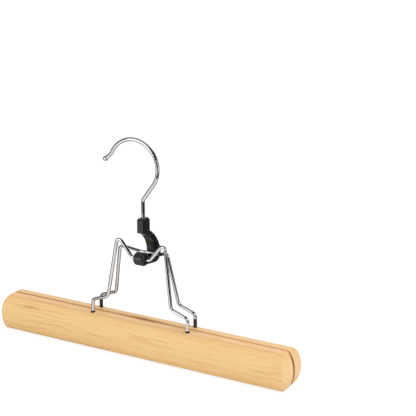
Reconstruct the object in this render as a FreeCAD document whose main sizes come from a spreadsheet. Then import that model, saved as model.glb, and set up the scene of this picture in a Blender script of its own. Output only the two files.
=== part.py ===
import FreeCAD, Part
import Sketcher
import math
import os

V = FreeCAD.Vector

# Wooden clamp hanger for skirts and trousers.
# Frame: X along the bars, Y from the front bar to the rear bar, Z up. The origin lies on the
# seam between the two bars, midway along them, at the level that they stand on.

SIZES = (
    # wooden half-bars
    ("bar_length", 270.0), ("bar_height", 29.6), ("bar_depth", 14.15), ("end_cut_top", 5.2), ("end_cut_foot", 3.3),
    ("crown_radius", 9.5), ("heel_radius", 4.5), ("face_radius", 60.0), ("end_round", 3.2),
    ("seam_round", 0.8), ("sink_width", 0.45), ("sink_depth", 1.0),
    # grip linings
    ("pad_thickness", 0.7), ("pad_inset", 1.0), ("jaw_gap", 0.3),
    # wire bails: the crank's height is counted from the bars' top, the shoulders' from their crank
    ("wire_dia", 2.9), ("bend_radius", 4.4), ("shoulder_bend", 2.6), ("foot_span", 89.7),
    ("foot_offset", 6.1), ("foot_depth", 15.0), ("foot_rise", 10.9), ("jog_rise", 5.2),
    ("leg_span", 59.5), ("hole_clearance", 0.05), ("hole_floor", 0.3),
    ("shoulder_span", 43.7), ("shoulder_rise", 16.6), ("shoulder_offset", 1.7),
    ("crank_span", 16.6), ("crank_rise", 52.2), ("crank_offset", 2.0),
    ("rear_shoulder_rise", 6.15), ("rear_span", 19.0), ("rear_lift", 1.05), ("rear_offset", 11.3),
    # plastic lever: heights are counted from the crank that it turns on
    ("lever_width", 7.8), ("knuckle_width", 10.0), ("knuckle_radius", 5.4), ("knuckle_round", 2.2),
    ("run_clearance", 0.06), ("block_depth", 9.75), ("block_height", 11.2), ("block_rise", 21.8),
    ("block_chamfer", 1.4), ("stem_sink", 0.4), ("throat_gap", 0.35), ("throat_relief", 2.6),
    ("throat_round", 1.0), ("floor_drop", 1.1), ("arm_back", 16.4), ("arm_rise", 13.8), ("arm_round", 1.0),
    ("heel_back", 22.2), ("heel_rise", 2.7), ("heel_drop", 7.2), ("heel_turn", 14.5),
    ("groove_inset", 0.9), ("groove_width", 1.8), ("groove_depth", 0.8),
    # hook: heights are counted from the top of the block
    ("stem_offset", 2.4), ("hook_dia", 3.3), ("stem_depth", 8.5), ("stem_rise", 14.6),
    ("head_dia", 4.8), ("head_height", 1.6), ("hook_radius", 22.0), ("hook_shift", 8.2),
    ("hook_rise", 40.8), ("flick_bend", 8.0), ("flick_length", 5.6), ("tip_dia", 4.4), ("stem_bend", 3.5),
    # one overrun for every cut
    ("overrun", 5.0),
)

doc = FreeCAD.newDocument("skirt_hanger")
sheet = doc.addObject("Spreadsheet::Sheet", "sizes")
for row, (alias, value) in enumerate(SIZES, start=1):
    sheet.set("A%d" % row, alias)
    sheet.set("B%d" % row, "%g" % value)
    sheet.setAlias("B%d" % row, alias)
doc.recompute()


def size(alias):
    return float(getattr(sheet, alias))


bar_length, bar_height = size("bar_length"), size("bar_height")
end_top, end_foot = size("end_cut_top"), size("end_cut_foot")
seam = size("jaw_gap") / 2 + size("pad_thickness")
wire_radius = size("wire_dia") / 2
hook_wire_radius = size("hook_dia") / 2
overrun = size("overrun")
crank_z = bar_height + size("crank_rise")
rear_z = crank_z + size("rear_lift")
hinge_z = rear_z + size("rear_shoulder_rise")
block_bottom = crank_z + size("block_rise")
block_top = block_bottom + size("block_height")
BLOCK_TOP = "(sizes.bar_height + sizes.crank_rise + sizes.block_rise + sizes.block_height)"


def plane(body, role):
    return next(f for f in body.Origin.OriginFeatures if f.Role == role)


def sketch_on(body, role, name, lift=None):
    sketch = body.newObject("Sketcher::SketchObject", name)
    sketch.AttachmentSupport = (plane(body, role), [""])
    sketch.MapMode = "FlatFace"
    if lift:
        sketch.setExpression("AttachmentOffset.Base.z", lift)
    return sketch


def draw(sketch, runs):
    """Closed outline: a run of two points is a line, one of three points an arc."""
    for run in runs:
        points = [V(p[0], p[1], 0) for p in run]
        curve = Part.LineSegment if len(points) == 2 else Part.Arc
        sketch.addGeometry(curve(*points), False)


def circle(sketch, spot, radius):
    index = sketch.addGeometry(Part.Circle(spot, V(0, 0, 1), wire_radius), False)
    held = sketch.addConstraint(Sketcher.Constraint("Radius", index, wire_radius))
    sketch.setExpression("Constraints[%d]" % held, radius)


def add(body, kind, name, sketch, **values):
    feature = body.newObject("PartDesign::" + kind, name)
    feature.Profile = sketch
    for key, value in values.items():
        if isinstance(value, str) and key == "Length":
            feature.setExpression("Length", value)
        else:
            setattr(feature, key, value)
    doc.recompute()
    return feature


def round_edges(body, kind, name, base, test, bind):
    chosen = ["Edge%d" % i for i, e in enumerate(base.Shape.Edges, start=1) if test(e)]
    feature = body.newObject("PartDesign::" + kind, name)
    feature.Base = (base, chosen)
    feature.setExpression("Radius" if kind == "Fillet" else "Size", bind)
    doc.recompute()
    return feature


def between(start, end, centre, radius):
    """Point of the arc from start to end, halfway round its centre."""
    u, v = (start - centre).normalize(), (end - centre).normalize()
    return centre + (u + v).normalize() * radius


# Half-bars: a D-shaped section with a deep crown, run along X. Their ends bow outwards and are cut back
# farther at the top than at the foot.
near = 1e-4
face_height_share = 0.44


def end_outline(inset):
    half, low, high = bar_length / 2 - inset, inset, bar_height - inset
    corners = [(-half + end_foot, low), (half - end_foot, low), (half - end_top, high), (-half + end_top, high)]
    bow_share = 1 / (1 + math.sqrt(end_top / end_foot))
    middle = low + (high - low) * bow_share
    return corners, (half, middle), (-half, middle)


def half_bar(name, side):
    body = doc.addObject("PartDesign::Body", name)
    body.Label = name
    outer = seam + size("bar_depth")
    face, crown, heel = size("face_radius"), size("crown_radius"), size("heel_radius")
    centre = V(outer - face, bar_height * face_height_share, 0)
    crown_z, heel_z = bar_height - crown, heel
    crown_c = V(centre.x + math.sqrt((face - crown) ** 2 - (crown_z - centre.y) ** 2), crown_z, 0)
    heel_c = V(centre.x + math.sqrt((face - heel) ** 2 - (heel_z - centre.y) ** 2), heel_z, 0)
    crown_t = centre + (crown_c - centre).normalize() * face
    heel_t = centre + (heel_c - centre).normalize() * face
    heel_0, crown_0 = V(heel_c.x, 0, 0), V(crown_c.x, bar_height, 0)
    runs = [(V(seam, 0, 0), heel_0), (heel_0, between(heel_0, heel_t, heel_c, heel), heel_t),
            (heel_t, V(outer, centre.y, 0), crown_t),
            (crown_t, between(crown_t, crown_0, crown_c, crown), crown_0),
            (crown_0, V(seam, bar_height, 0)), (V(seam, bar_height, 0), V(seam, 0, 0))]
    section = sketch_on(body, "YZ_Plane", name + "_section")
    draw(section, [[V(side * p.x, p.y, 0) for p in run] for run in runs])
    add(body, "Pad", name + "_run", section, Length="sizes.bar_length + sizes.overrun",
        Midplane=True)

    # both ends are cut back to an arc that bows out farthest below mid height
    corners, right, left = end_outline(0)
    ends = sketch_on(body, "XZ_Plane", name + "_ends")
    far, top = bar_length / 2 + overrun, bar_height + overrun
    for low, middle, high, sign in ((corners[1], right, corners[2], 1), (corners[0], left, corners[3], -1)):
        out = sign * far
        draw(ends, [(low, middle, high), (high, (high[0], top)), ((high[0], top), (out, top)),
                    ((out, top), (out, -overrun)), ((out, -overrun), (low[0], -overrun)),
                    ((low[0], -overrun), low)])
    cut = add(body, "Pocket", name + "_bow", ends, Type="ThroughAll", Midplane=True)

    inner = bar_length / 2 - max(end_top, end_foot) - near

    def on_end(edge):
        return all(abs(v.X) > inner for v in edge.Vertexes)

    def on_seam(edge):
        return all(abs(abs(v.Y) - seam) < near for v in edge.Vertexes)

    soft = round_edges(body, "Fillet", name + "_end_round", cut,
                       lambda e: on_end(e) and not on_seam(e), "sizes.end_round")
    soft = round_edges(body, "Fillet", name + "_seam_round", soft, on_seam, "sizes.seam_round")

    # blind holes for the two feet of the bail, each with a sunk rim
    for kind, radius, depth in (
            ("holes", "sizes.wire_dia / 2 + sizes.hole_clearance", "sizes.foot_depth + sizes.hole_floor"),
            ("sinks", "sizes.wire_dia / 2 + sizes.sink_width", "sizes.sink_depth")):
        holes = sketch_on(body, "XY_Plane", name + "_" + kind, "sizes.bar_height")
        for sign in (-1, 1):
            circle(holes, V(sign * size("foot_span") / 2, side * size("foot_offset"), 0), radius)
        add(body, "Pocket", name + "_cut_" + kind, holes, Length=depth)
    return body


# Grip linings: thin sheets on the inner faces, cut to the end outline of the bars.
def lining(name, side):
    body = doc.addObject("PartDesign::Body", name)
    body.Label = name
    lift = "%d * sizes.jaw_gap / 2" % -side
    outline = sketch_on(body, "XZ_Plane", name + "_outline", lift)
    (a, b, c, d), right, left = end_outline(size("pad_inset"))
    draw(outline, [(a, b), (b, right, c), (c, d), (d, left, a)])
    add(body, "Pad", name + "_sheet", outline, Length="sizes.pad_thickness", Reversed=(side > 0))
    return body


# Bails: one wire each, straight runs joined by round bends.
def bent_path(points, bends):
    edges, here = [], points[0]
    for before, corner, after, bend in zip(points, points[1:], points[2:], bends):
        u, v = (before - corner).normalize(), (after - corner).normalize()
        half = u.getAngle(v) / 2
        start, end = corner + u * (bend / math.tan(half)), corner + v * (bend / math.tan(half))
        centre = corner + (u + v).normalize() * (bend / math.sin(half))
        edges.append(Part.LineSegment(here, start).toShape())
        edges.append(Part.Arc(start, between(start, end, centre, bend), end).toShape())
        here = end
    edges.append(Part.LineSegment(here, points[-1]).toShape())
    return Part.Wire(edges)


def swept_wire(name, path, start, direction, radius):
    spine = doc.addObject("Part::Feature", name + "_spine")
    spine.Shape = path
    ring = doc.addObject("Part::Circle", name + "_ring")
    ring.setExpression("Radius", radius)
    ring.Placement = FreeCAD.Placement(start, FreeCAD.Rotation(V(0, 0, 1), direction))
    sweep = doc.addObject("Part::Sweep", name)
    sweep.Sections = [ring]
    sweep.Spine = (spine, ["Edge%d" % i for i in range(1, len(path.Edges) + 1)])
    sweep.Solid, sweep.Frenet = True, False
    return sweep


def bail(name, side, crank_height, shoulder_rise, crank_span, crank_offset):
    foot_x, leg_x, shoulder_x = size("foot_span") / 2, size("leg_span") / 2, size("shoulder_span") / 2
    foot_y, foot_top = size("foot_offset"), bar_height + size("foot_rise")
    half = [(foot_x, foot_y, bar_height - size("foot_depth")), (foot_x, foot_y, foot_top),
            (leg_x, foot_y, foot_top + size("jog_rise")),
            (shoulder_x, size("shoulder_offset"), crank_height + shoulder_rise),
            (crank_span / 2, crank_offset, crank_height)]
    left = [V(-x, side * y, z) for x, y, z in half]
    right = [V(x, side * y, z) for x, y, z in reversed(half)]
    bend, tight = size("bend_radius"), size("shoulder_bend")
    bends = [bend, bend, tight, bend]
    path = bent_path(left + right, bends + bends[::-1])
    wire = swept_wire(name, path, left[0], V(0, 0, 1), "sizes.wire_dia / 2")
    wire.Label = name
    return wire


# Lever: a C-shaped plastic arm. Its knuckle turns on the front bail's crank, the hollow of the
# arm bears on the rear bail, and the block on top carries the hook.
lever_tilt, jaw_swing_share = 60.0, 1 / 3
heel_swell_share, knuckle_tuck_share = 0.28, 0.9
groove_start_angle, groove_end_angle = 4.0, 44.0


def turned(arm, degrees):
    c, s = math.cos(math.radians(degrees)), math.sin(math.radians(degrees))
    return V(arm.x * c - arm.y * s, arm.x * s + arm.y * c, 0)


def lever_body():
    body = doc.addObject("PartDesign::Body", "lever")
    body.Label = "lever"
    axis, rear = V(-size("crank_offset"), crank_z, 0), V(size("rear_offset"), rear_z, 0)
    front, back = size("stem_offset") - size("block_depth") / 2, size("stem_offset") + size("block_depth") / 2
    floor, hinge = crank_z - size("floor_drop"), V(0, hinge_z, 0)

    # the hollow follows the rear wire's path seen from the tilting lever, set off by the wire's
    # radius, and draws away from it towards full tilt
    def seen(tilt):
        wire = hinge + turned(rear - hinge, tilt * jaw_swing_share)
        return axis + turned(wire - axis, tilt)

    stops = (0, lever_tilt / 2, lever_tilt)
    track = Part.Circle(*[seen(stop) for stop in stops])

    def cleared(tilt):
        out = (seen(tilt) - track.Center).normalize()
        return seen(tilt) + out * (wire_radius + size("throat_gap")
                                   + size("throat_relief") * (tilt / lever_tilt) ** 2)

    hollow = Part.Circle(*[cleared(stop) for stop in stops])
    centre, throat = hollow.Center, hollow.Radius
    corner = V(centre.x + math.sqrt(throat ** 2 - (floor - centre.y) ** 2), floor, 0)
    lip = V(front, centre.y + math.sqrt(throat ** 2 - (front - centre.x) ** 2), 0)

    arm_mid = V(size("arm_back"), crank_z + size("arm_rise"), 0)
    heel = V(size("heel_back"), crank_z + size("heel_rise"), 0)
    turn = V(size("heel_turn"), crank_z - size("heel_drop"), 0)
    heel_mid = (heel + turn) * 0.5 + V(heel.x - turn.x, turn.y - heel.y, 0) * heel_swell_share
    neck = V(back, block_bottom, 0)
    under = V(axis.x, axis.y - size("knuckle_radius") * knuckle_tuck_share, 0)
    inside = V(axis.x, floor, 0)
    profile = sketch_on(body, "YZ_Plane", "lever_profile")
    draw(profile, [(V(front, block_top, 0), V(back, block_top, 0)), (V(back, block_top, 0), neck),
                   (neck, arm_mid, heel), (heel, heel_mid, turn), (turn, under), (under, inside),
                   (inside, corner), (corner, between(corner, lip, centre, throat), lip),
                   (lip, V(front, block_top, 0))])
    solid = add(body, "Pad", "lever_arm", profile, Length="sizes.lever_width", Midplane=True)

    # chamfers round the top of the block and down its four corners
    def on_block(edge):
        low = min(v.Z for v in edge.Vertexes)
        upright = abs(edge.Vertexes[0].Z - edge.Vertexes[-1].Z) > near
        tall = low > min(block_bottom, lip.y) - near and abs(edge.Vertexes[0].X) > near
        return low > block_top - near or (upright and tall)

    solid = round_edges(body, "Chamfer", "lever_block_edges", solid, on_block, "sizes.block_chamfer")

    def in_throat(edge):
        return all(abs(v.Y - corner.x) < near and abs(v.Z - corner.y) < near for v in edge.Vertexes)

    solid = round_edges(body, "Fillet", "lever_throat", solid, in_throat, "sizes.throat_round")

    # the arm's back and heel are rounded along both sides
    def on_back(edge):
        ends = [edge.valueAt(edge.FirstParameter), edge.valueAt(edge.LastParameter)]
        outside = all(min((V(p.y, p.z, 0) - q).Length for q in (neck, heel, turn)) < near for p in ends)
        return outside and abs(ends[0].x - ends[1].x) < near

    solid = round_edges(body, "Fillet", "lever_back", solid, on_back, "sizes.arm_round")

    # the knuckle is turned about the crank, its ends rounded over
    knuckle = sketch_on(body, "XZ_Plane", "lever_knuckle", "sizes.crank_offset")
    half, wide, soft = size("knuckle_width") / 2, size("knuckle_radius"), size("knuckle_round")
    low, high, mid = V(half, crank_z, 0), V(half - soft, crank_z + wide, 0), V(half, crank_z + wide - soft, 0)
    bend = between(mid, high, V(high.x, mid.y, 0), soft)

    def across(p):
        return V(-p.x, p.y, 0)

    knuckle.addGeometry(Part.LineSegment(across(low), low), True)
    draw(knuckle, [(across(low), low), (low, mid), (mid, bend, high), (high, across(high)),
                   (across(high), across(bend), across(mid)), (across(mid), across(low))])
    add(body, "Revolution", "lever_eye", knuckle, ReferenceAxis=(knuckle, ["Axis0"]))

    bore = sketch_on(body, "YZ_Plane", "lever_bore")
    circle(bore, axis, "sizes.wire_dia / 2 + sizes.run_clearance")
    add(body, "Pocket", "lever_pivot", bore, Type="ThroughAll", Midplane=True)

    # the hook's stem runs in a bore with a sunk mouth, its headed end in a wider chamber
    for name, lift, radius, depth in (
            ("stem", BLOCK_TOP, "sizes.hook_dia / 2 + sizes.run_clearance", "sizes.stem_depth"),
            ("mouth", BLOCK_TOP, "sizes.hook_dia / 2 + sizes.stem_sink", "sizes.stem_sink"),
            ("head", BLOCK_TOP + " - sizes.stem_depth + sizes.head_height + sizes.hole_floor",
             "sizes.head_dia / 2 + sizes.run_clearance", "sizes.head_height + 2 * sizes.hole_floor")):
        hole = sketch_on(body, "XY_Plane", "lever_" + name, lift)
        circle(hole, V(0, size("stem_offset"), 0), radius)
        add(body, "Pocket", "lever_%s_bore" % name, hole, Length=depth)

    # a shallow groove follows the hollow on both sides
    inner_r = throat + size("groove_inset")
    outer_r = inner_r + size("groove_width")

    def polar(radius, angle):
        return centre + V(math.cos(math.radians(angle)), math.sin(math.radians(angle)), 0) * radius

    first, last = groove_start_angle, groove_end_angle
    middle = (first + last) / 2
    for name, lift, flip in (("right", "sizes.lever_width / 2", False), ("left", "-sizes.lever_width / 2", True)):
        band = sketch_on(body, "YZ_Plane", "lever_groove_" + name, lift)
        draw(band, [(polar(inner_r, first), polar(inner_r, middle), polar(inner_r, last)),
                    (polar(inner_r, last), polar(outer_r, last)),
                    (polar(outer_r, last), polar(outer_r, middle), polar(outer_r, first)),
                    (polar(outer_r, first), polar(inner_r, first))])
        add(body, "Pocket", "lever_channel_" + name, band, Length="sizes.groove_depth", Reversed=flip)
    return body


# Hook: a stem, a bend out to the side, most of a circle and an outward flick with a bead at its tip.
hook_end_angle, flick_turn = 154.0, 24.0


def hook_solid():
    y, foot = size("stem_offset"), block_top - size("stem_depth")
    radius, bend = size("hook_radius"), size("stem_bend")
    centre = V(-size("hook_shift"), y, block_top + size("hook_rise"))
    knee = V(0, y, block_top + size("stem_rise"))
    reach = centre - knee
    lean = math.atan2(reach.z, reach.x) - math.asin(radius / reach.Length)
    run = math.sqrt(reach.Length ** 2 - radius ** 2)
    touch = knee + V(math.cos(lean), 0, math.sin(lean)) * run

    def around(origin, length, angle):
        return origin + V(math.cos(angle), 0, math.sin(angle)) * length

    first, last = lean - math.pi / 2, math.radians(hook_end_angle)
    end = around(centre, radius, last)
    flick_r = size("flick_bend")
    flick_c = around(centre, radius + flick_r, last)
    back = last + math.pi
    turn = math.radians(flick_turn)
    flick_end = around(flick_c, flick_r, back - turn)
    heading = back - turn - math.pi / 2
    tip = around(flick_end, size("flick_length"), heading)

    stem = bent_path([V(0, y, foot), knee, touch], [bend])
    edges = list(stem.Edges) + [
        Part.Arc(touch, around(centre, radius, (first + last) / 2), end).toShape(),
        Part.Arc(end, around(flick_c, flick_r, back - turn / 2), flick_end).toShape(),
        Part.LineSegment(flick_end, tip).toShape()]
    wire = swept_wire("hook_wire", Part.Wire(edges), V(0, y, foot), V(0, 0, 1), "sizes.hook_dia / 2")
    ball = doc.addObject("Part::Sphere", "hook_tip")
    ball.setExpression("Radius", "sizes.tip_dia / 2")
    ball.Placement = FreeCAD.Placement(tip, FreeCAD.Rotation(V(0, 0, 1), tip - flick_end))
    head = doc.addObject("Part::Cylinder", "hook_head")
    head.setExpression("Radius", "sizes.head_dia / 2")
    head.setExpression("Height", "sizes.head_height")
    head.Placement = FreeCAD.Placement(V(0, y, foot), FreeCAD.Rotation())
    hook = doc.addObject("Part::MultiFuse", "hook")
    hook.Shapes = [wire, ball, head]
    hook.Label = "hook"
    return hook


pieces = [half_bar("front_bar", -1), half_bar("rear_bar", 1),
          lining("front_pad", -1), lining("rear_pad", 1),
          bail("front_bail", -1, crank_z, size("shoulder_rise"), size("crank_span"), size("crank_offset")),
          bail("rear_bail", 1, rear_z, size("rear_shoulder_rise"), size("rear_span"), size("rear_offset")),
          lever_body(), hook_solid()]
doc.recompute()

faults = [o.Label for o in doc.Objects if set(o.State) & {"Invalid", "Error"}]
faults += [p.Label for p in pieces if p.Shape.isNull() or not p.Shape.isValid()]
if faults:
    raise RuntimeError("failed: " + ", ".join(faults))

os.makedirs("parts", exist_ok=True)
for piece in pieces:
    piece.Shape.exportStep(os.path.join("parts", piece.Label + ".step"))
    box = piece.Shape.BoundBox
    print("%-11s %d solid %9.1f mm3  X %.2f..%.2f  Y %.2f..%.2f  Z %.2f..%.2f" % (
        piece.Label, len(piece.Shape.Solids), piece.Shape.Volume, box.XMin, box.XMax, box.YMin, box.YMax,
        box.ZMin, box.ZMax))
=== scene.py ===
import math

import bpy
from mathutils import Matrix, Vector, noise


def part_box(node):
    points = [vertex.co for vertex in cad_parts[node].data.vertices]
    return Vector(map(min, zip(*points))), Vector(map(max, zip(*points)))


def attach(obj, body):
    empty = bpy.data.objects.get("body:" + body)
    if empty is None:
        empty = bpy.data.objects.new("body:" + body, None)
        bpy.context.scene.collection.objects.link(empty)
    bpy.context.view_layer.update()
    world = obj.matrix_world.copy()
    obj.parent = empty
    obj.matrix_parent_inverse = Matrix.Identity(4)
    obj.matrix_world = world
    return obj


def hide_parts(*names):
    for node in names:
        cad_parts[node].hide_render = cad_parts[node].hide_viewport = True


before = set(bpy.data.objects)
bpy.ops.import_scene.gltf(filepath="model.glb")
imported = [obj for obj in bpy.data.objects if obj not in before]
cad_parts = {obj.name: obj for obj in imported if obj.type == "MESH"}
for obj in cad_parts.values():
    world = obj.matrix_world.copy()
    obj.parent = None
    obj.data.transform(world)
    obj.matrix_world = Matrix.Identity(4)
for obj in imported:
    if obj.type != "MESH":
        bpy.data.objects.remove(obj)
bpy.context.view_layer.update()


# The half-bars are two lengths of pale hardwood, run through a moulder to a rounded section, cut
# with bowed ends, sanded and given a thin clear lacquer. Each comes from its own board, so the
# figure differs: slow growth bands, fine fibres and short darker flecks. A few eye-shaped darker
# marks are laid on as well, and some painted shade and a painted highlight, given below.
class Value:
    """A number or vector that varies over a surface. Sums and products of it become Math nodes."""

    def __init__(self, finish, socket):
        self.finish, self.socket = finish, socket

    def work(self, operation, a, b=0.0):
        return self.finish.add("ShaderNodeMath", {"operation": operation}, {0: a, 1: b})

    def __add__(self, other):
        return self.work("ADD", self, other)

    def __radd__(self, other):
        return self.work("ADD", other, self)

    def __sub__(self, other):
        return self.work("SUBTRACT", self, other)

    def __rsub__(self, other):
        return self.work("SUBTRACT", other, self)

    def __mul__(self, other):
        return self.work("MULTIPLY", self, other)

    def __rmul__(self, other):
        return self.work("MULTIPLY", other, self)

    def __truediv__(self, other):
        return self.work("DIVIDE", self, other)

    def __pow__(self, other):
        return self.work("POWER", self, other)

    def __rpow__(self, other):
        return self.work("POWER", other, self)

    def __abs__(self):
        return self.work("ABSOLUTE", self)

    def fraction(self):
        return self.work("FRACT", self)

    def fade(self):
        """1 where the value is 0, falling towards 0 as it grows."""
        return math.e ** (0 - self)


class Finish:
    """A material in the making: add() puts one node into it, surface() feeds its shader."""

    def __init__(self, name):
        self.material = bpy.data.materials.new(name)
        self.material.use_nodes = True
        self.tree = self.material.node_tree
        self.shader = next(n for n in self.tree.nodes if n.type == "BSDF_PRINCIPLED")

    def feed(self, socket, value):
        if isinstance(value, Value):
            self.tree.links.new(value.socket, socket)
        else:
            socket.default_value = value

    def add(self, kind, settings=None, inputs=None, output=0):
        node = self.tree.nodes.new(kind)
        for name, setting in (settings or {}).items():
            setattr(node, name, setting)
        for key, value in (inputs or {}).items():
            self.feed(node.inputs[key], value)
        if output is None:
            return [Value(self, socket) for socket in node.outputs]
        return Value(self, node.outputs[output])

    def place(self, shift=(0, 0, 0), stretch=(1, 1, 1)):
        here = self.add("ShaderNodeTexCoord", output=3)
        return self.add("ShaderNodeMapping", None,
                        {"Vector": here, "Location": shift, "Scale": stretch})

    def axes(self):
        return self.add("ShaderNodeSeparateXYZ", None, {0: self.place()}, output=None)

    def noise(self, place, scale, detail=2.0, rough=0.5):
        return self.add("ShaderNodeTexNoise", None,
                        {"Vector": place, "Scale": scale, "Detail": detail, "Roughness": rough})

    def step(self, value, low, high):
        """0 below low, 1 above high, smooth between."""
        return self.add("ShaderNodeMapRange", {"interpolation_type": "SMOOTHSTEP"},
                        {"Value": value, "From Min": low, "From Max": high})

    def mix(self, share, first, second):
        return self.add("ShaderNodeMix", {"data_type": "RGBA"},
                        {0: share, 6: first, 7: second}, output=2)

    def bump(self, height, depth, strength):
        return self.add("ShaderNodeBump", None,
                        {"Height": height, "Distance": depth, "Strength": strength})

    def surface(self, **sockets):
        for name, value in sockets.items():
            self.feed(self.shader.inputs[name.replace("_", " ")], value)
        return self.material


PALE_WOOD = (0.920, 0.624, 0.288, 1)
WARM_WOOD = (0.830, 0.505, 0.205, 1)
PINK_WOOD = (0.960, 0.585, 0.310, 1)
DARK_WOOD = (0.480, 0.215, 0.068, 1)
END_WOOD = (0.950, 0.640, 0.370, 1)
# the next colour darkens the marks, and is also the painted shade in the seam at the sawn ends
KNOT_AND_SHADE_WOOD = (0.400, 0.150, 0.036, 1)
# the painted shade round the holes of the feet
FOOT_HOLE_SHADE = (0.030, 0.024, 0.020, 1)

YEAR = 0.0031                        # thickness of one growth band
FLAT_EDGE = 0.0083                   # the planed flat on top ends this far from the seam
FLAT_LINE = 0.0008                   # and the line along its edge is about this wide
FOOT_X, FOOT_Y = 0.04485, 0.0061     # a foot of the wires, from the middle and from the seam


def board(name, pith, shift, marks):
    wood = Finish(name)
    x, y, z = wood.axes()
    across, aside = abs(x), abs(y)   # distance from the middle of the bar, and from the seam

    # growth bands lie round a pith line well outside the bar, and wander slowly along it
    wander = wood.noise(wood.place(shift, (6, 40, 40)), 1.0, 2.0)
    ring = ((y - pith[0]) ** 2 + (z - pith[1]) ** 2) ** 0.5 + 0.012 * wander
    phase = (ring / YEAR).fraction()
    late = wood.step(phase, 0.30, 0.85) * (1 - wood.step(phase, 0.90, 1.0))

    fibre = wood.noise(wood.place(shift, (16, 760, 760)), 1.0, 3.0, 0.6)
    streak = wood.step(wood.noise(wood.place(shift, (36, 560, 560)), 1.0, 2.0), 0.52, 0.72)
    blotch = wood.noise(wood.place(shift, (10, 70, 70)), 1.0, 1.0)
    pore = wood.step(wood.noise(wood.place(shift, (60, 1500, 1500)), 1.0, 1.0), 0.64, 0.78)

    warmth = late * blotch * 0.38 + fibre * 0.45 + blotch * 0.42 + streak * 0.48
    colour = wood.mix(wood.step(warmth, 0.42, 0.96), PALE_WOOD, WARM_WOOD)

    # the planed flat on top took the lacquer a little redder, and ends in a faint line of painted
    # shade where it turns into the crown
    flat = wood.step(z, 0.0286, 0.0293)
    colour = wood.mix(flat * (0.35 + 0.40 * fibre), colour, PINK_WOOD)
    flat_edge_shade = wood.step(z, 0.026, 0.028) * (((aside - FLAT_EDGE) / FLAT_LINE) ** 2).fade()
    colour = wood.mix(flat_edge_shade * 0.36, colour, DARK_WOOD)

    # painted shade: the round of the crown and the lower edge are mixed a shade warmer and darker,
    # where they are lit less than the face
    crown_shade = wood.step(z, 0.0205, 0.0255) * (1 - flat)
    low_shade = 1 - wood.step(z, 0.002, 0.011)
    colour = wood.mix(crown_shade * 0.34 + low_shade * 0.55, colour, WARM_WOOD)

    # painted shade in the gap: the arrises along the seam are darkened, less towards the right, and
    # most of all at the sawn ends
    sawn = wood.step(across, 0.1290, 0.1335)
    seam = 1 - wood.step(aside, 0.0011, 0.0019)
    seam_shade = 0.42 - 0.30 * wood.step(x, 0.035, 0.085)
    colour = wood.mix(seam_shade * seam, colour, DARK_WOOD)
    colour = wood.mix(sawn * seam * 0.88, colour, KNOT_AND_SHADE_WOOD)
    colour = wood.mix(pore * 0.22, colour, DARK_WOOD)

    # the sawn ends are paler, partly end grain and partly a painted highlight on the end faces, and
    # a ring of painted shade stands round each foot where its wire goes into the bar
    off_seam = wood.step(aside, 0.0013, 0.0020)
    colour = wood.mix(sawn * off_seam * (0.12 + 0.30 * fibre), colour, END_WOOD)
    off_foot = ((across - FOOT_X) ** 2 + (aside - FOOT_Y) ** 2) ** 0.5
    foot_shade = wood.step(z, 0.024, 0.027) * (1 - wood.step(off_foot, 0.0016, 0.0022))
    colour = wood.mix(foot_shade * 0.75, colour, FOOT_HOLE_SHADE)

    for place, reach, depth in marks:
        fall = sum(((axis - middle) / size) ** 2
                   for axis, middle, size in zip((x, y, z), place, reach))
        colour = wood.mix(depth * fall.fade() * (0.6 + 0.8 * fibre), colour, KNOT_AND_SHADE_WOOD)
    return wood.surface(Base_Color=colour, Roughness=0.46 + 0.18 * fibre, Specular_IOR_Level=0.35,
                        Coat_Weight=0.08, Coat_Roughness=0.35,
                        Normal=wood.bump(fibre, 0.00010, 0.4))


# each mark: its middle, how far it reaches along X, Y and Z, and how dark it is. The first mark of
# each bar darkens the top along the seam at the middle of the bar.
for node, pith, shift, marks in (
        ("front_bar", (-0.075, -0.050), (0.31, 0.12, 0.05),
         (((0.002, -0.0006, 0.0296), (0.015, 0.0023, 0.004), 0.90),
          ((-0.1030, -0.0130, 0.0245), (0.0080, 0.0100, 0.0007), 0.55),
          ((-0.086, -0.0070, 0.0290), (0.018, 0.0007, 0.004), 0.26))),
        ("rear_bar", (0.060, -0.072), (0.87, 0.44, 0.71),
         (((0.000, 0.0008, 0.0296), (0.016, 0.0018, 0.004), 0.80),
          ((-0.074, 0.0065, 0.0290), (0.012, 0.0008, 0.004), 0.38)))):
    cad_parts[node].data.materials[0] = board(node + "_wood", pith, shift, marks)


# The linings are strips of brown felt 0.7 mm thick, die-cut a little short of the bars' edges and
# glued flat to their inner faces. The jaw side has an uneven nap, and a rim that the cutter rounded.
RIM = 0.0005          # width of the rounded rim
RIM_DROP = 0.00035    # how far it falls away
NAP_DEPTH = 0.00005   # the deepest hollow of the nap
NAP_PITCH = 300       # hollows of about 3 mm

felt = Finish("felt_lining")
nap = felt.noise(felt.place(), 2600.0, 3.0, 0.7)
mottle = felt.noise(felt.place((0.2, 0.4, 0.1)), 260.0, 3.0, 0.6)
fuzz = nap * 0.65 + mottle * 0.35
felt.surface(Base_Color=felt.mix(fuzz, (0.36, 0.110, 0.016, 1), (0.60, 0.215, 0.038, 1)),
             Roughness=0.86 + 0.12 * nap, Sheen_Weight=0.05, Normal=felt.bump(fuzz, 0.0003, 0.7))


def grid(wide, tall):
    """The faces between the points of a grid, which are counted row by row."""
    return [(i + j, i + j + 1, i + j + 1 + wide, i + j + wide)
            for j in range(0, wide * (tall - 1), wide) for i in range(wide - 1)]


def stand(name, data):
    thing = bpy.data.objects.new(name, data)
    bpy.context.scene.collection.objects.link(thing)
    return thing


def spaced(length, count):
    """Places along a length: close together over the rim at both ends, even between."""
    rim = [RIM * share for share in (0.0, 0.2, 0.5, 1.0)]
    inner = [RIM + (length - 2 * RIM) * i / count for i in range(1, count)]
    return [*rim, *inner, *(length - d for d in reversed(rim))]


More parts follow.
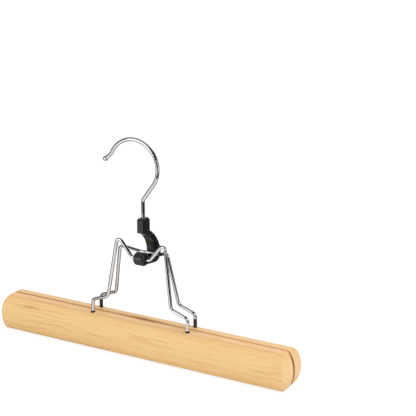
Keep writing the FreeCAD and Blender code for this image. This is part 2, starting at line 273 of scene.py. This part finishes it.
def felt_strip(name, node, body):
    low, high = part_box(node)
    length, height = high.x - low.x, high.z - low.z
    face, back = (high.y, low.y) if abs(high.y) < abs(low.y) else (low.y, high.y)
    inward = 1 if back > face else -1

    # half the strip's length at each height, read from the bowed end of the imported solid
    bow = sorted({(round(v.co.z, 6), round(v.co.x, 6))
                  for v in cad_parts[node].data.vertices if v.co.x > 0})

    def reach(z):
        for (z0, x0), (z1, x1) in zip(bow, bow[1:]):
            if z0 <= z <= z1 and z1 > z0:
                return x0 + (x1 - x0) * (z - z0) / (z1 - z0)
        return bow[0][1] if z < bow[0][0] else bow[-1][1]

    rows = spaced(height, 17)
    columns = [d / length * 2 - 1 for d in spaced(length, 170)]
    wide, tall = len(columns), len(rows)
    points = []
    for rise in rows:
        z = low.z + rise
        half = reach(z)
        for share in columns:
            x = share * half
            edge = max(min(rise, height - rise, half - abs(x)), 0.0)
            turned = 1 - min(edge / RIM, 1.0)
            sink = RIM_DROP * (1 - (1 - turned ** 2) ** 0.5)
            sink += NAP_DEPTH * abs(noise.noise((x * NAP_PITCH, 7.0, z * NAP_PITCH)))
            points.append((x, face + inward * sink, z))

    # the edge runs once round the face: bottom, right, top, left; the flat back repeats it
    edge = [*range(wide), *range(2 * wide - 1, wide * tall, wide),
            *range(wide * tall - 2, wide * (tall - 1) - 1, -1), *range(wide * (tall - 2), 0, -wide)]
    base = len(points)
    points += [(points[i][0], back, points[i][2]) for i in edge]
    lap = [*range(len(edge)), 0]
    faces = grid(wide, tall)
    faces += [(edge[b], edge[a], base + a, base + b) for a, b in zip(lap, lap[1:])]
    faces.append([base + i for i in reversed(range(len(edge)))])
    if inward < 0:
        faces = [tuple(reversed(corners)) for corners in faces]

    mesh = bpy.data.meshes.new(name)
    mesh.from_pydata(points, [], faces)
    for polygon in mesh.polygons[:-1]:
        polygon.use_smooth = True
    mesh.materials.append(felt.material)
    strip = stand(name, mesh)
    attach(strip, body)
    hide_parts(node)


felt_strip("front_lining", "front_pad", "front_jaw")
felt_strip("rear_lining", "rear_pad", "rear_jaw")


# The bails are each bent from one length of round steel wire and plated bright. Their feet are
# pressed into holes in the bars. Near the bars the wire is painted black: on the rear pair up to
# the bend as a painted dark reflection, and on the front pair at the root only as painted shade at
# the hole.
def plated(name, painted_dark_height=None):
    """Bright plate. Below the given height, where there is one, the wire is painted black: painted
    shade and a dark reflection on the feet.
    """
    plate = Finish(name)
    haze = plate.noise(plate.place(), 140.0, 3.0, 0.6)
    colour, metal, rough = (0.63, 0.63, 0.65, 1), 1.0, 0.03 + 0.06 * haze
    if painted_dark_height:
        z = plate.axes()[2]
        # the dark below this height is painted: shade at the root of each foot, and a dark
        # reflection on the rear feet
        above_dark = plate.step(z + 0.0006 * haze, painted_dark_height, painted_dark_height + 0.0005)
        colour = plate.mix(above_dark, (0.012, 0.012, 0.013, 1), colour)
        metal, rough = above_dark, rough * above_dark + 0.34 * (1 - above_dark)
    return plate.surface(Base_Color=colour, Metallic=metal, Roughness=rough)


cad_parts["front_bail"].data.materials[0] = plated("front_bail_plate", painted_dark_height=0.0308)
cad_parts["rear_bail"].data.materials[0] = plated("rear_bail_plate", painted_dark_height=0.0368)


# The lever is one black plastic moulding: the knuckle that turns on the front wire, the cam arm
# whose hollow the rear wire runs in, and the block that holds the hook. The mould was
# spark-eroded, which leaves a fine satin skin.
moulded = Finish("lever_moulding")
skin = moulded.noise(moulded.place(), 3200.0, 2.0)
sheen = moulded.noise(moulded.place(), 120.0, 2.0)
moulded.surface(
    Base_Color=moulded.mix(sheen, (0.009, 0.009, 0.010, 1), (0.016, 0.016, 0.017, 1)),
    Roughness=0.20 + 0.12 * sheen, Specular_IOR_Level=0.48,
    Normal=moulded.bump(skin, 0.00004, 0.4))
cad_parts["lever"].data.materials[0] = moulded.material


# The hook is bent from a thicker steel wire than the bails, rounded at the tip and plated like
# them. The headed end of its stem is held in the lever's block, where it turns.
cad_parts["hook"].data.materials[0] = plated("hook_plate")


# The studio: a white sweep under the hanger, a broad lamp low at the front left, a second one
# high on the right, and a surround that is pale at eye level and grey overhead. Dark cards,
# which only reflections see, put the dark lines into the plated wire.
floor_mesh = bpy.data.meshes.new("floor")
floor_mesh.from_pydata([(-6, -6, 0), (6, -6, 0), (6, 6, 0), (-6, 6, 0)], [], [(0, 1, 2, 3)])
floor = stand("floor", floor_mesh)
paper = Finish("white_sweep")
grain = paper.noise(paper.place(), 6.0, 2.0)
camera_ray, _, _, glossy_ray, _, _, transmitted, *_ = paper.add("ShaderNodeLightPath", output=None)
seen = paper.add("ShaderNodeMath", {"operation": "MAXIMUM"},
                 {0: camera_ray + glossy_ray, 1: transmitted})
sheet = paper.mix(grain, (0.72, 0.72, 0.72, 1), (0.74, 0.74, 0.74, 1))
paper.surface(Base_Color=paper.mix(seen, sheet, (0.34, 0.34, 0.34, 1)), Roughness=0.9,
              Specular_IOR_Level=0.1, Emission_Strength=1.0,
              Emission_Color=paper.mix(seen, (0, 0, 0, 1), (0.74, 0.74, 0.74, 1)))
floor_mesh.materials.append(paper.material)


def around(turn, radius, height):
    """A point at this turn, in degrees from straight in front towards the right."""
    return (radius * math.sin(math.radians(turn)), -radius * math.cos(math.radians(turn)), height)


# Panels in front, towards the right, serve the hook's stem, the right legs, the bails and the
# hook's bow. Others stand behind on both sides, high up behind the hook, and lie as a small mat
# behind the bars. Each row gives a radius and a height.
for name, grey, first, last, rows in (
        ("stem_card", 0.01, -22, 33, ((0.20, 0.056), (0.20, 0.075))),
        ("leg_card", 0.01, 33, 95, ((0.20, 0.002), (0.20, 0.085))),
        ("knee_card", 0.01, 12, 33, ((0.20, 0.038), (0.20, 0.056))),
        ("neck_card", 0.01, 18, 66, ((0.20, 0.085), (0.20, 0.120))),
        ("bail_card", 0.01, 2, 66, ((0.20, 0.120), (0.20, 0.215))),
        ("bow_card", 0.01, 12, 102, ((0.20, 0.215), (0.20, 0.500))),
        ("right_card", 0.04, 109, 166, ((0.12, 0.001), (0.26, 0.002), (0.26, 0.400))),
        ("left_card", 0.04, 252, 309, ((0.12, 0.001), (0.26, 0.002), (0.26, 0.400))),
        ("high_card", 0.06, 166, 252, ((0.26, 0.300), (0.26, 0.450))),
        ("mat", 0.06, 109, 309, ((0.03, 0.001), (0.12, 0.001)))):
    turns = [first + (last - first) * i / 8 for i in range(9)]
    mesh = bpy.data.meshes.new(name)
    mesh.from_pydata([around(turn, radius, height) for radius, height in rows for turn in turns],
                     [], grid(len(turns), len(rows)))
    mesh.materials.append(Finish(name + "_felt").surface(
        Base_Color=(grey, grey, grey, 1), Roughness=1.0, Specular_IOR_Level=0.0))
    card = stand(name, mesh)
    card.visible_camera = card.visible_diffuse = False
    card.visible_shadow = card.visible_transmission = False

# the surround: pale at eye level and grey overhead in reflections, even for the light that falls
# on the hanger, and white to the camera
world = bpy.data.worlds.new("studio")
bpy.context.scene.world = world
world.use_nodes = True
tree = world.node_tree
sky = tree.nodes.new("ShaderNodeTexCoord")
rise = tree.nodes.new("ShaderNodeSeparateXYZ")
shade = tree.nodes.new("ShaderNodeValToRGB")
for element, place, grey in zip(shade.color_ramp.elements, (0.25, 0.80), (0.95, 0.52)):
    element.position, element.color = place, (grey, grey, grey, 1)
tree.links.new(sky.outputs["Generated"], rise.inputs[0])
tree.links.new(rise.outputs["Z"], shade.inputs["Fac"])
path = tree.nodes.new("ShaderNodeLightPath")
colour = shade.outputs["Color"]
for ray, grey in (("Is Diffuse Ray", 0.86), ("Is Camera Ray", 1.0)):
    swap = tree.nodes.new("ShaderNodeMix")
    swap.data_type = "RGBA"
    swap.inputs[7].default_value = (grey, grey, grey, 1)
    tree.links.new(path.outputs[ray], swap.inputs[0])
    tree.links.new(colour, swap.inputs[6])
    colour = swap.outputs[2]
tree.links.new(colour, tree.nodes["Background"].inputs["Color"])


def lamp(name, place, width, power):
    light = bpy.data.lights.new(name, "AREA")
    light.shape, light.size, light.energy = "DISK", width, power
    holder = stand(name, light)
    holder.location = place
    aim = Vector((0, 0, 0.06)) - Vector(place)
    holder.rotation_euler = aim.to_track_quat("-Z", "Y").to_euler()


lamp("key_lamp", (-0.65, -1.60, 0.25), width=0.9, power=5.5)
lamp("fill_lamp", (1.5, -0.2, 0.9), width=0.8, power=7.0)

# the camera was fitted to the photo: a focal length of 1200 pixels in a picture 416 wide
lens = bpy.data.cameras.new("camera")
lens.sensor_width, lens.lens = 36.0, 36.0 * 1200 / 416
camera = stand("camera", lens)
camera.location = (0.48405, -0.76442, 0.39948)
sight = Vector((-0.46403, 0.83627, -0.29211))
camera.rotation_euler = sight.to_track_quat("-Z", "Y").to_euler()
bpy.context.scene.camera = camera
bpy.context.scene.view_settings.view_transform = "Standard"
